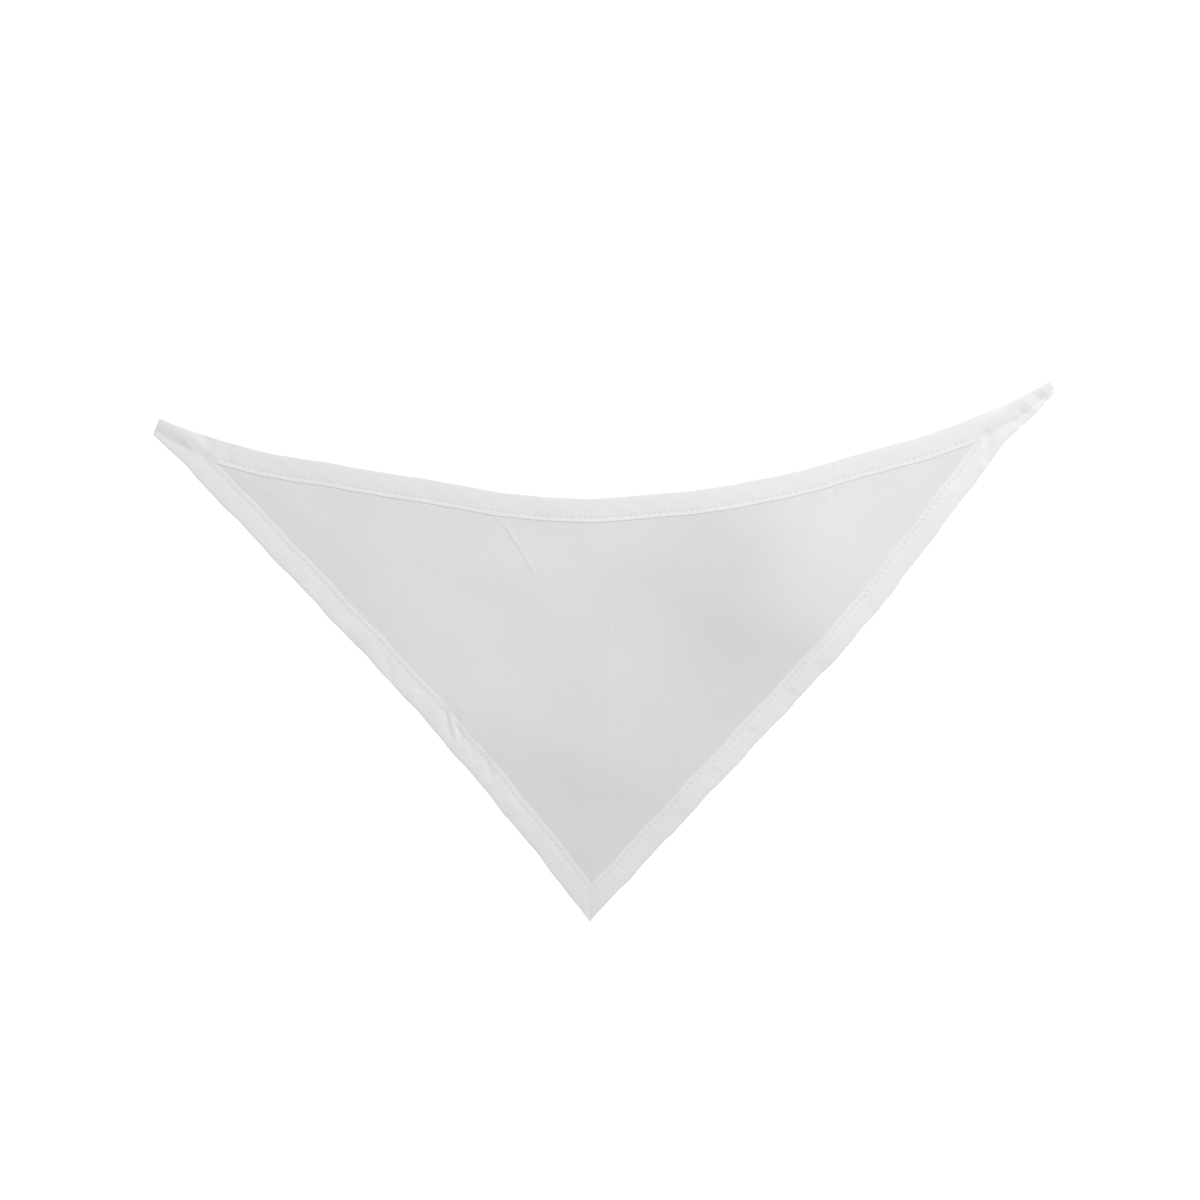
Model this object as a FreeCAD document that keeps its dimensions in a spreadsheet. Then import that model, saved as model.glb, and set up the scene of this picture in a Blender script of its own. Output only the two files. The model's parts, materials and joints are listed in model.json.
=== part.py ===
import FreeCAD, Part
import os
import Sketcher

# A triangular bandage arm sling, laid out flat with its hems upwards. Millimetres.
# The origin is the middle of the box in X and Y, on the surface the cloth lies on.
# +X runs along the long edge to the wearer's right-hand tie end, +Y from the point to the
# long edge, and +Z up out of the cloth, towards the face that the hems are turned to.
#
# The cloth is one triangle with a double-turned hem, sewn with one row of lockstitch.
# It folds along three lines, so every layer is cut along them into four bodies:
# the centre, the left end, the right end and the point.

Vector = FreeCAD.Vector

DRIVING_SIZES = {
    "cloth_thickness": 0.4,
    "hem_width": 20.0,
    "tuck_width": 17.0,
    "tuck_clearance": 0.05,
    "stitch_inset": 16.0,
    "thread_width": 0.4,
    "thread_height": 0.12,
    "groove_width": 0.5,
    "tie_end_layers": 6.0,
    "fold_gap": 0.5,
    "fold_height": 7.0,
    "long_edge_middle_x": 0.0,
    "long_edge_middle_y": 126.2,
    "end_fold_offset": 6.0,
    "point_fold_offset": 20.0,
    "region_reach": 900.0,
    "region_height": 12.0,
}

# The outline, clockwise from the left tie end: each corner's name and place, and the radius
# of the edge that runs on from it. 0 is a straight edge, and a positive radius bows the edge
# into the cloth, as the long edge hangs in a shallow curve between the two tie ends.
OUTLINE = [
    ("left_tip_top", -364.5, 191.0, 510.0),
    ("long_edge_left", -235.0, 156.0, 0.0),
    ("sag_start", -104.0, 134.0, 433.0),
    ("sag_end", 27.5, 128.0, 737.0),
    ("long_edge_right", 159.0, 148.0, 0.0),
    ("right_tail_start", 257.0, 175.5, 556.0),
    ("right_tip_top", 365.0, 221.4, 0.0),
    ("right_tip_end", 369.4, 212.4, 0.0),
    ("right_tip_under", 357.0, 198.4, 0.0),
    ("right_leg_top", 332.5, 176.0, 0.0),
    ("right_bend_top", 239.0, 52.5, -1050.0),
    ("right_bend_end", 173.0, -24.0, 0.0),
    ("point_tip", -12.0, -221.4, 3000.0),
    ("left_leg_middle", -171.0, -29.5, 0.0),
    ("left_leg_top", -351.0, 160.0, 0.0),
    ("left_tip_under", -369.4, 177.0, 0.0),
]

doc = FreeCAD.newDocument("ArmSling")
sheet = doc.addObject("Spreadsheet::Sheet", "Sizes")
sub_parts = []


def fill_sheet():
    """One row per size: its name in column A, its value in column B under the same alias."""
    sizes = dict(DRIVING_SIZES)
    for name, x, y, radius in OUTLINE:
        sizes[name + "_x"] = x
        sizes[name + "_y"] = y
        if radius:
            sizes[name + "_radius"] = abs(radius)
    for row, (name, value) in enumerate(sizes.items(), start=1):
        sheet.set(f"A{row}", name)
        sheet.set(f"B{row}", str(value))
        sheet.setAlias(f"B{row}", name)
    doc.recompute()


def size(name):
    return float(sheet.get(name))


def corner(name):
    return Vector(size(name + "_x"), size(name + "_y"), 0)


def arc_middle(start, end, radius):
    """The middle point of an arc that bows to the right of its way for a positive radius."""
    chord = end - start
    half = chord.Length / 2
    rise = abs(radius) - (radius**2 - half**2) ** 0.5
    right = Vector(chord.y, -chord.x, 0).normalize()
    return (start + end) * 0.5 + right * (rise if radius > 0 else -rise)


def draw_outline():
    """The finished outline of the hemmed cloth, every corner and radius held by the sheet."""
    sketch = doc.addObject("Sketcher::SketchObject", "Outline")
    root, start_of, end_of = (-1, 1), {}, {}
    for number, (name, _, _, radius) in enumerate(OUTLINE):
        start = corner(name)
        end = corner(OUTLINE[(number + 1) % len(OUTLINE)][0])
        if radius:
            edge = Part.Arc(start, arc_middle(start, end, radius), end)
        else:
            edge = Part.LineSegment(start, end)
        sketch.addGeometry(edge, False)
        starts_first = (sketch.getPoint(number, 1) - start).Length < 1e-6
        start_of[number] = 1 if starts_first else 2
        end_of[number] = 2 if starts_first else 1
    for number, (name, x, y, radius) in enumerate(OUTLINE):
        after = (number + 1) % len(OUTLINE)
        sketch.addConstraint(
            Sketcher.Constraint("Coincident", number, end_of[number], after, start_of[after])
        )
        at = sketch.addConstraint(Sketcher.Constraint("DistanceX", *root, number, start_of[number], x))
        sketch.setExpression(f"Constraints[{at}]", f"Sizes.{name}_x")
        at = sketch.addConstraint(Sketcher.Constraint("DistanceY", *root, number, start_of[number], y))
        sketch.setExpression(f"Constraints[{at}]", f"Sizes.{name}_y")
        if radius:
            at = sketch.addConstraint(Sketcher.Constraint("Radius", number, abs(radius)))
            sketch.setExpression(f"Constraints[{at}]", f"Sizes.{name}_radius")
    doc.recompute()
    return sketch


def inset(name, outline, distance):
    """The outline moved into the cloth by a distance, given as an expression on the sheet."""
    line = doc.addObject("Part::Offset2D", name)
    line.Source = outline
    line.Mode = "Pipe"
    line.Join = "Intersection"
    line.setExpression("Value", f"-({distance})")
    return line


def raised(name, profile, base, height):
    """A closed profile extruded upwards from a base height; both are expressions on the sheet."""
    solid = doc.addObject("Part::Extrusion", name)
    solid.Base = profile
    solid.DirMode = "Custom"
    solid.Dir = Vector(0, 0, 1)
    solid.Solid = True
    solid.setExpression("LengthFwd", height)
    solid.setExpression("Placement.Base.z", base)
    return solid


def cut(name, base, tool):
    result = doc.addObject("Part::Cut", name)
    result.Base = base
    result.Tool = tool
    return result


def fused(name, pieces):
    result = doc.addObject("Part::MultiFuse", name)
    result.Shapes = pieces
    return result


def common(name, base, tool):
    result = doc.addObject("Part::Common", name)
    result.Base = base
    result.Tool = tool
    return result


def ring(name, outline, outer, inner, base, height):
    """A band that follows the outline all round, between two insets from it."""
    outside = inset(name + "OutsideLine", outline, outer) if outer else outline
    inside = inset(name + "InsideLine", outline, inner)
    outside_solid = raised(name + "Outside", outside, base, height)
    inside_solid = raised(name + "Inside", inside, base, height)
    return cut(name, outside_solid, inside_solid)


def side_box(name, at, outward, start):
    """A large box on one side of a line: the line passes through at, square to outward, and
    the box begins at start from it, an expression that is negative for a box that laps over."""
    box = doc.addObject("Part::Box", name)
    box.setExpression("Length", "Sizes.region_reach")
    box.setExpression("Width", "Sizes.region_reach")
    box.setExpression("Height", "Sizes.region_height")
    turn = FreeCAD.Rotation(Vector(1, 0, 0), outward)
    box.Placement = FreeCAD.Placement(Vector(), turn)
    shift = turn.multVec(Vector(0, -size("region_reach") / 2, 0))
    box.setExpression("Placement.Base.x", f"{at.x + shift.x} + ({start}) * {outward.x}")
    box.setExpression("Placement.Base.y", f"{at.y + shift.y} + ({start}) * {outward.y}")
    box.setExpression("Placement.Base.z", "-Sizes.region_height / 4")
    return box


def prism(name, corners):
    """A tall block on a polygon of corners, used to tell one edge of the cloth from another."""
    polygon = doc.addObject("Part::Polygon", name + "Polygon")
    polygon.Nodes = corners
    polygon.Close = True
    return raised(name, polygon, "-Sizes.region_height / 4", "Sizes.region_height")


def keep(item, label):
    """Marks an object as a sub-part; its Label names its file."""
    item.Label = label
    sub_parts.append(item)
    return item


def fold_line(tip, middle, offset):
    """The line on which a corner folds in over the cloth. It is the square bisector between the
    corner and the middle of the long edge, moved outwards, so that the folded corner stops short
    of the middle by twice the offset. Returns a point on it and the direction out to the corner."""
    outward = (tip - middle).normalize()
    return (tip + middle) * 0.5 + outward * offset, outward


fill_sheet()
outline = draw_outline()

# Where the cloth folds: each end about half-way to the middle of the long edge, and the point too.
left_tip = (corner("left_tip_top") + corner("left_tip_under")) * 0.5
right_tip = (corner("right_tip_top") + corner("right_tip_under")) * 0.5
middle = corner("long_edge_middle")
folds = {
    "left_end": fold_line(left_tip, middle, size("end_fold_offset")),
    "right_end": fold_line(right_tip, middle, size("end_fold_offset")),
    "point": fold_line(corner("point_tip"), middle, size("point_fold_offset")),
}

# The corners of the hem's inner fold tell where the two hems of a tie end run into each other.
hem_fold_line = inset("HemFoldLine", outline, "Sizes.hem_width")
doc.recompute()
inner_corners = sorted((vertex.Point for vertex in hem_fold_line.Shape.Vertexes), key=lambda p: p.x)
left_inner, right_inner = inner_corners[0], inner_corners[-1]
point_inner = min(inner_corners, key=lambda p: p.y)
tie_ends = {
    "left_end": (left_inner, (left_tip - left_inner).normalize()),
    "right_end": (right_inner, (right_tip - right_inner).normalize()),
}

# One box outside each fold line, and the centre is what is left inside all three.
half_gap = "Sizes.fold_gap / 2"
outside = {name: side_box(f"Outside_{name}", *folds[name], half_gap) for name in folds}
lapped = [side_box(f"Lapped_{name}", *folds[name], f"-{half_gap}") for name in folds]
tie_boxes = {name: side_box(f"TieBox_{name}", *tie_ends[name], "0") for name in tie_ends}
whole_box = side_box("WholeBox", Vector(-size("region_reach") / 2, 0, 0), Vector(1, 0, 0), "0")
regions = {
    "centre": cut("Region_centre", whole_box, fused("LappedBoxes", lapped)),
    "left_end": cut("Region_left_end", outside["left_end"], tie_boxes["left_end"]),
    "right_end": cut("Region_right_end", outside["right_end"], tie_boxes["right_end"]),
    "point": outside["point"],
}

# Three blocks, one over each edge. They meet in the middle of the cloth and, at the point,
# on the mitre between the two leg hems.
reach = size("region_reach") / 2
hub = (left_inner + right_inner + point_inner) * (1 / 3)
mitre_end = point_inner + (corner("point_tip") - point_inner).normalize() * reach
edges = {
    "long_edge": prism(
        "LongEdgeBlock",
        [hub, left_inner, Vector(-reach, reach, 0), Vector(reach, reach, 0), right_inner],
    ),
    "left_leg": prism(
        "LeftLegBlock",
        [hub, point_inner, mitre_end, Vector(-reach, -reach, 0), Vector(-reach, reach, 0), left_inner],
    ),
    "right_leg": prism(
        "RightLegBlock",
        [hub, right_inner, Vector(reach, reach, 0), Vector(reach, -reach, 0), mitre_end, point_inner],
    ),
}
edges_of_region = {
    "centre": ["long_edge", "left_leg", "right_leg"],
    "left_end": ["long_edge", "left_leg"],
    "right_end": ["long_edge", "right_leg"],
    "point": ["left_leg", "right_leg"],
}

# The layers, from the surface up. Half of the sewing lies in a groove under the cloth.
one_layer = "Sizes.cloth_thickness"
row_outer = "Sizes.stitch_inset - Sizes.thread_width / 2"
row_inner = "Sizes.stitch_inset + Sizes.thread_width / 2"
groove = ring(
    "ThreadGroove",
    outline,
    "Sizes.stitch_inset - Sizes.groove_width / 2",
    "Sizes.stitch_inset + Sizes.groove_width / 2",
    "0",
    "Sizes.thread_height",
)
flat_cloth = cut("FlatCloth", raised("Cloth", outline, "0", one_layer), groove)
turned_over = ring("TurnedOver", outline, None, "Sizes.hem_width", f"2 * {one_layer}", one_layer)
turned_edge = ring("TurnedEdge", outline, None, one_layer, one_layer, one_layer)
bands = {
    "hem_turn": fused("HemTurn", [turned_over, turned_edge]),
    "tucked_edge": ring(
        "TuckedEdge",
        outline,
        "Sizes.cloth_thickness + Sizes.tuck_clearance",
        "Sizes.tuck_width",
        one_layer,
        one_layer,
    ),
    "needle_thread": ring(
        "NeedleThread", outline, row_outer, row_inner, f"3 * {one_layer}", "Sizes.thread_height"
    ),
    "bobbin_thread": ring(
        "BobbinThread", outline, row_outer, row_inner, "0", "Sizes.thread_height"
    ),
}

for region, region_solid in regions.items():
    keep(common(f"Panel_{region}", flat_cloth, region_solid), f"{region}_panel")
    for edge in edges_of_region[region]:
        cell = common(f"Cell_{region}_{edge}", region_solid, edges[edge])
        for band, band_solid in bands.items():
            label = f"{region}_{edge}_{band}"
            keep(common(f"Piece_{label}", band_solid, cell), label)

# At a tie end the two hems lie over each other, so every layer is gathered into one thick tail.
thick_cloth = raised("ThickCloth", outline, "0", f"Sizes.tie_end_layers * {one_layer}")
for region, tie_box in tie_boxes.items():
    side = region.split("_")[0]
    keep(common(f"Tie_{side}", thick_cloth, tie_box), f"{side}_tie_end")

doc.recompute()

for item in doc.Objects:
    if "Invalid" in item.State or "Error" in item.State:
        raise RuntimeError(f"{item.Label} did not recompute: {item.State}")

os.makedirs("parts", exist_ok=True)
total = 0
for item in sub_parts:
    shape = item.Shape
    if shape.isNull() or not shape.isValid() or shape.Volume <= 0 or not shape.Solids:
        raise RuntimeError(f"{item.Label} has no valid solid")
    total += shape.Volume
    shape.exportStep(f"parts/{item.Label}.step")
    box = shape.BoundBox
    print(
        f"{item.Label:40s} {len(shape.Solids)} solid(s) {shape.Volume:10.2f} mm3"
        f"  x {box.XMin:8.2f} {box.XMax:8.2f}  y {box.YMin:8.2f} {box.YMax:8.2f}"
        f"  z {box.ZMin:5.2f} {box.ZMax:5.2f}"
    )
print(f"{len(sub_parts)} sub-parts, {total:.0f} mm3")

# Each fold's axis lies above the cloth, so that a folded corner comes to rest on the centre.
# A positive turn about it by the right-hand rule lifts the corner up and over.
for name, (at, outward) in folds.items():
    axis = outward.cross(Vector(0, 0, 1))
    height = size("fold_height")
    print(f"{name} folds about ({at.x:.3f}, {at.y:.3f}, {height:.3f}), axis ({axis.x:.9f}, {axis.y:.9f}, 0)")
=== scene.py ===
import json
import math

import bpy
import numpy as np
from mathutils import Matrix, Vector
from mathutils.geometry import delaunay_2d_cdt


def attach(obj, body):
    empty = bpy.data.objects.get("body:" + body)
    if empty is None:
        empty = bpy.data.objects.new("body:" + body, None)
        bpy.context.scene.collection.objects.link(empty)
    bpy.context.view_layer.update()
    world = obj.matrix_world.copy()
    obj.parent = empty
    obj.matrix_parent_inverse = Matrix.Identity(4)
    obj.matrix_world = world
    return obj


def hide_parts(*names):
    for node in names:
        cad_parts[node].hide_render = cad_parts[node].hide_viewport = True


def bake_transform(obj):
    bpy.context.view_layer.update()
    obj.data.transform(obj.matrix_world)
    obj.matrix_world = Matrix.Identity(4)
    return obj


# An arm sling: one triangle of white cotton with a double-turned hem, laid out flat with the
# hem upwards. Metres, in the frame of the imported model. Every layer of cloth lies on one
# shared ground height, so the layers stay apart wherever the cloth ripples or creases.

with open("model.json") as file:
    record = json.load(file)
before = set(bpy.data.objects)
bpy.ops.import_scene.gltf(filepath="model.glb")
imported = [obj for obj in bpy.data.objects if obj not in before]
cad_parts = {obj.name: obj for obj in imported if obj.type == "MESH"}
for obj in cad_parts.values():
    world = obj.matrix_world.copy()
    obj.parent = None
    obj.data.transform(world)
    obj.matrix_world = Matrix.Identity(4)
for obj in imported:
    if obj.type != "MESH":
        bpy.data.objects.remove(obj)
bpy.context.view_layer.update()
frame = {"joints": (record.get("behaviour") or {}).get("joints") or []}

MM = 0.001

# One layer of cloth, and the hem of three: its outer fold is round, and its inner fold is
# pressed thin and sunk a little into the cloth below.
CLOTH = 0.4 * MM
HEM_WIDTH = 20.0 * MM
HEM_TOP = 3 * CLOTH
FOLD_RADIUS = HEM_TOP / 2
TUCK_GAP = 0.03 * MM
TUCK_START = 3.0 * MM
PRESSED = 0.24 * MM
SUNK = 0.06 * MM

STITCH = 5.0 * MM
STITCH_INSET = 16.0 * MM
THREAD_RADIUS = 0.24 * MM

# How closely the points of edges and meshes lie, and how far on each side of its line a fold
# bends the cloth: the two sides together are the half circle round the joint's axis.
EDGE_SPACING = 0.5 * MM
STATIONS_PER_STITCH = 4
PANEL_SPACING = 2.5 * MM
BEND_SPACING = 1.0 * MM
BEND_REACH = 0.5 * math.pi * frame["joints"][0]["pos_m"][2]

# Where the long edge's hem lies over a leg's hem, it is lifted by that hem over a short ramp,
# and its inner edge is pressed into it.
LAYER_LIFT = 2.1 * CLOTH
RAMP = 7.0 * MM
MERGE = 0.9
MERGE_START = 3.0 * MM
MERGE_REACH = 16.5 * MM

# The height of the cloth's underside over the floor, and how calm it is at the hems.
GROUND_MIDDLE = 1.9 * MM
GROUND_LOWEST = 0.25 * MM
GROUND_SOFTNESS = 0.25 * MM
EDGE_CALM = 0.35
CALM_REACH = 0.070

# Each edge's corners, going clockwise round the cloth: the place, and the radius of the edge
# that runs on from it. 0 is straight, and a positive radius bows into the cloth.
LONG_EDGE = [
    (-0.3645, 0.1910, 0.510),
    (-0.2350, 0.1560, 0.0),
    (-0.1040, 0.1340, 0.433),
    (0.0275, 0.1280, 0.737),
    (0.1590, 0.1480, 0.0),
    (0.2570, 0.1755, 0.556),
    (0.3650, 0.2214, 0.0),
]
RIGHT_LEG = [
    (0.3694, 0.2124, 0.0),
    (0.3570, 0.1984, 0.0),
    (0.3325, 0.1760, 0.0),
    (0.2390, 0.0525, -1.050),
    (0.1730, -0.0240, 0.0),
    (-0.0120, -0.2214, 0.0),
]
LEFT_LEG = [
    (-0.0120, -0.2214, 3.000),
    (-0.1710, -0.0295, 0.0),
    (-0.3510, 0.1600, 0.0),
    (-0.3694, 0.1770, 0.0),
]

# Uneven waves of each edge in plan: height as a share of the edge's sway, how many to the
# sway's length, and start of the wave in radians.
EDGE_WAVES = [(1.0, 1.0, 1.3), (0.5, 2.31, 0.0), (0.08, 4.7, 2.0)]

# Broad soft ripples of the whole cloth: wavelength, heading of the slope in degrees, start of
# the wave in turns, and height. Their crests swing from side to side.
RIPPLES = [
    (0.128, 60.0, 0.52, 0.20 * MM),
    (0.086, 52.0, 0.20, 0.16 * MM),
    (0.061, 66.0, 0.81, 0.06 * MM),
]
CREST_SWING = 0.014
CREST_LENGTH = 0.27

# Places where the cloth stands in a low roll: both ends of its middle line, half its width, and
# its height.
ROLLS = [
    ((0.095, 0.100), (0.175, 0.020), 0.046, 2.2 * MM),
    ((-0.175, 0.008), (-0.075, -0.105), 0.045, 1.2 * MM),
    ((-0.020, -0.070), (0.060, -0.110), 0.036, 0.8 * MM),
]


# ---------------------------------------------------------------- edges and folds in plan


def smooth_step(share):
    share = np.clip(share, 0, 1)
    return share * share * (3 - 2 * share)


def arc_points(start, end, radius, spacing):
    """Points from start up to, not at, end. A positive radius bows to the right of the way."""
    chord = end - start
    length = np.linalg.norm(chord)
    share = np.linspace(0, 1, max(2, round(length / spacing)), endpoint=False)[:, None]
    points = start + chord * share
    if radius:
        half = length / 2
        along = (2 * share - 1) * half
        depth = np.sqrt(radius**2 - along**2) - math.sqrt(radius**2 - half**2)
        right = np.array([chord[1], -chord[0]]) / length
        points = points + right * depth * math.copysign(1, radius)
    return points


def softened(values, reach, spacing):
    """Rows of values averaged along their order; the first and the last row stay."""
    count = max(1, round(3 * reach / spacing))
    offsets = np.arange(-count, count + 1) * spacing
    weights = np.exp(-0.5 * (offsets / reach) ** 2)
    weights /= weights.sum()
    before = 2 * values[0] - values[count:0:-1]
    after = 2 * values[-1] - values[-2 : -count - 2 : -1]
    padded = np.vstack([before, values, after])
    return np.stack([np.convolve(padded[:, i], weights, "valid") for i in (0, 1)], axis=1)


def gap_to_points(places, points):
    """How far places in plan are from the nearest of some points."""
    found = np.empty(len(places))
    for start in range(0, len(places), 2000):
        gaps = places[start : start + 2000, None, :] - points[None, :, :]
        found[start : start + 2000] = np.sqrt((gaps**2).sum(axis=2).min(axis=1))
    return found


class Edge:
    """One edge of the cloth as evenly spaced stations, each with its way into the cloth."""

    # How far corners and turns of the way in are softened, how far from its ends the edge has
    # its full waves, and how many stations it runs on by.
    CORNER_SOFTNESS = 5 * MM
    WAY_SOFTNESS = 6 * MM
    CALM_TIP = 0.03
    RUN_ON = 40

    def __init__(self, name, corners, sway, sway_length):
        self.name = name
        points = []
        for (x, y, radius), (x_next, y_next, _) in zip(corners, corners[1:]):
            start, end = np.array([x, y]), np.array([x_next, y_next])
            points.append(arc_points(start, end, radius, EDGE_SPACING))
        points.append(np.array([corners[-1][:2]]))
        line = softened(np.vstack(points), self.CORNER_SOFTNESS, EDGE_SPACING)
        steps = np.linalg.norm(np.diff(line, axis=0), axis=1)
        along = np.concatenate([[0], np.cumsum(steps)])
        count = 2 * round(along[-1] / STITCH / 2) * STATIONS_PER_STITCH
        self.length = along[-1]
        self.spacing = self.length / count
        self.along = np.linspace(0, self.length, count + 1)
        line = np.stack([np.interp(self.along, along, line[:, i]) for i in (0, 1)], axis=1)
        self.inward = self.ways_in(line)
        ends = smooth_step(self.along / self.CALM_TIP)
        ends = ends * smooth_step((self.length - self.along) / self.CALM_TIP)
        turns = 2 * math.pi * self.along / sway_length
        waves = sum(share * np.sin(rate * turns + start) for share, rate, start in EDGE_WAVES)
        line = line + self.inward * (sway * waves * ends)[:, None]
        self.points = line
        self.inward = self.ways_in(line)
        run = np.arange(1, self.RUN_ON + 1)[:, None]
        before = line[0] + run[::-1] * (line[0] - line[1])
        after = line[-1] + run * (line[-1] - line[-2])
        self.run_on = np.vstack([before, line, after])

    def ways_in(self, line):
        tangent = np.gradient(line, axis=0)
        inward = np.stack([tangent[:, 1], -tangent[:, 0]], axis=1)
        inward = softened(inward, self.WAY_SOFTNESS, self.spacing)
        return inward / np.linalg.norm(inward, axis=1)[:, None]

    def at(self, along, inset):
        """Places in plan, a distance along the edge and a distance into the cloth."""
        line = np.stack([np.interp(along, self.along, self.points[:, i]) for i in (0, 1)], axis=-1)
        inward = np.stack([np.interp(along, self.along, self.inward[:, i]) for i in (0, 1)], axis=-1)
        return line + inward * np.asarray(inset)[..., None]

    def distance(self, places, every=1):
        """How far places in plan are from the edge, which runs on straight past its ends;
        every says how many of its stations to step over."""
        return gap_to_points(places, self.run_on[::every])


class Fold:
    """A line that the cloth folds along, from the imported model's joint."""

    def __init__(self, joint):
        self.body = joint["child"]
        self.place = np.array(joint["pos_m"][:2])
        self.line = np.array(joint["axis"][:2])
        self.outward = np.array([-self.line[1], self.line[0]])

    def beyond(self, places):
        """How far places in plan are past the fold line, on the side of the flap."""
        return (places - self.place) @ self.outward

    def blend(self, piece):
        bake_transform(piece)


long_edge = Edge("long_edge", LONG_EDGE, 0.25 * MM, 0.090)
right_leg = Edge("right_leg", RIGHT_LEG, 0.45 * MM, 0.062)
left_leg = Edge("left_leg", LEFT_LEG, 0.45 * MM, 0.071)
folds = {joint["child"]: Fold(joint) for joint in frame["joints"]}


# ---------------------------------------------------------------- heights of the cloth


def crease(places, points, height, left, right):
    """The height of a ridge along a line of points; left and right are how wide its sides are.
    It fades over the first and the last quarter of its length, and its top is a little round."""
    points = np.array(points)
    lengths = np.linalg.norm(np.diff(points, axis=0), axis=1)
    total = lengths.sum()
    nearest = np.full(len(places), np.inf)
    across = np.zeros(len(places))
    along = np.zeros(len(places))
    passed = 0.0
    for start, end, length in zip(points, points[1:], lengths):
        way = (end - start) / length
        offset = places - start
        run = np.clip(offset @ way, 0, length)
        gap = offset - run[:, None] * way
        distance = np.linalg.norm(gap, axis=1)
        side = np.sign(offset[:, 0] * way[1] - offset[:, 1] * way[0])
        closer = distance < nearest
        nearest = np.where(closer, distance, nearest)
        across = np.where(closer, distance * side, across)
        along = np.where(closer, passed + run, along)
        passed += length
    width = np.where(across > 0, right, left)
    ends = smooth_step(4 * along / total) * smooth_step(4 * (1 - along / total))
    softened_gap = np.sqrt(across**2 + (0.25 * width) ** 2) - 0.25 * width
    return height * ends * np.exp(-softened_gap / width)


# Creases of the panel and the hems, each a line of points, its height, and the widths of its
# left and right sides.
PANEL_CREASES = [
    # the short sharp crease that runs down from the long edge's hem
    (
        [(-0.0950, 0.1160), (-0.0795, 0.0995), (-0.0700, 0.0848), (-0.0640, 0.0743), (-0.0540, 0.0560)],
        0.28 * MM, 1.9 * MM, 0.6 * MM,
    ),
    # the faint crease down the middle, from being folded in half
    ([(0.006, 0.070), (0.003, -0.040), (0.000, -0.180)], 0.12 * MM, 1.4 * MM, 1.2 * MM),
    # pressed creases beside the two end folds
    ([(0.1840, 0.200), (0.1890, 0.120), (0.1930, 0.020)], -0.10 * MM, 2.6 * MM, 1.0 * MM),
    ([(-0.205, 0.150), (-0.208, 0.090), (-0.212, 0.020)], 0.08 * MM, 1.6 * MM, 1.4 * MM),
    # the lifted line beside the left leg's hem
    (
        [(-0.150, -0.014), (-0.1349, -0.0303), (-0.1180, -0.047), (-0.098, -0.0665)],
        0.10 * MM, 1.8 * MM, 0.9 * MM,
    ),
]
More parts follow.
